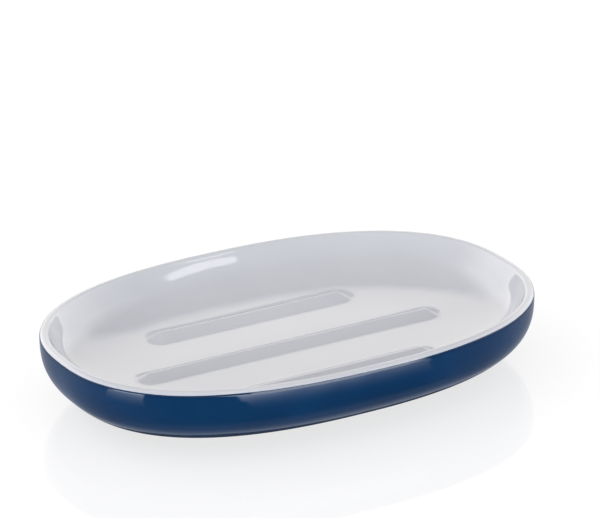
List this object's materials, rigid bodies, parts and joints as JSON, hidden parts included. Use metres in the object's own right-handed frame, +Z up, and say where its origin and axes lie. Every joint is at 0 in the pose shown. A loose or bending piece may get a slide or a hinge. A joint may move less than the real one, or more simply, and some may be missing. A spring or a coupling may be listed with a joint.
{
  "type": "soap dish",
  "caption": "Shallow oval ceramic soap dish, white glazed inside with raised drying ribs, blue glazed outside, standing on small soft pads.",
  "frame": {"origin": "centre of the oval, on the surface that the pads stand on", "axes": "+X along the dish's long axis and its ribs, +Y across it, +Z up out of the bowl"},
  "size_m": [0.135, 0.092, 0.0202],
  "materials": {
    "bare_ceramic": "matt, unglazed and slightly sandy, seen only on the foot ring",
    "white_glaze": "high gloss white glaze",
    "blue_glaze": "high gloss deep blue glaze",
    "pad_rubber": "satin, slightly milky"
  },
  "bodies": {
    "root": {"ceramic_body": "bare_ceramic", "white_glaze": "white_glaze", "blue_glaze": "blue_glaze", "base_glaze": "blue_glaze", "foot_pad_front_left": "pad_rubber", "foot_pad_front_right": "pad_rubber", "foot_pad_back_left": "pad_rubber", "foot_pad_back_right": "pad_rubber"}
  },
  "joints": []
}
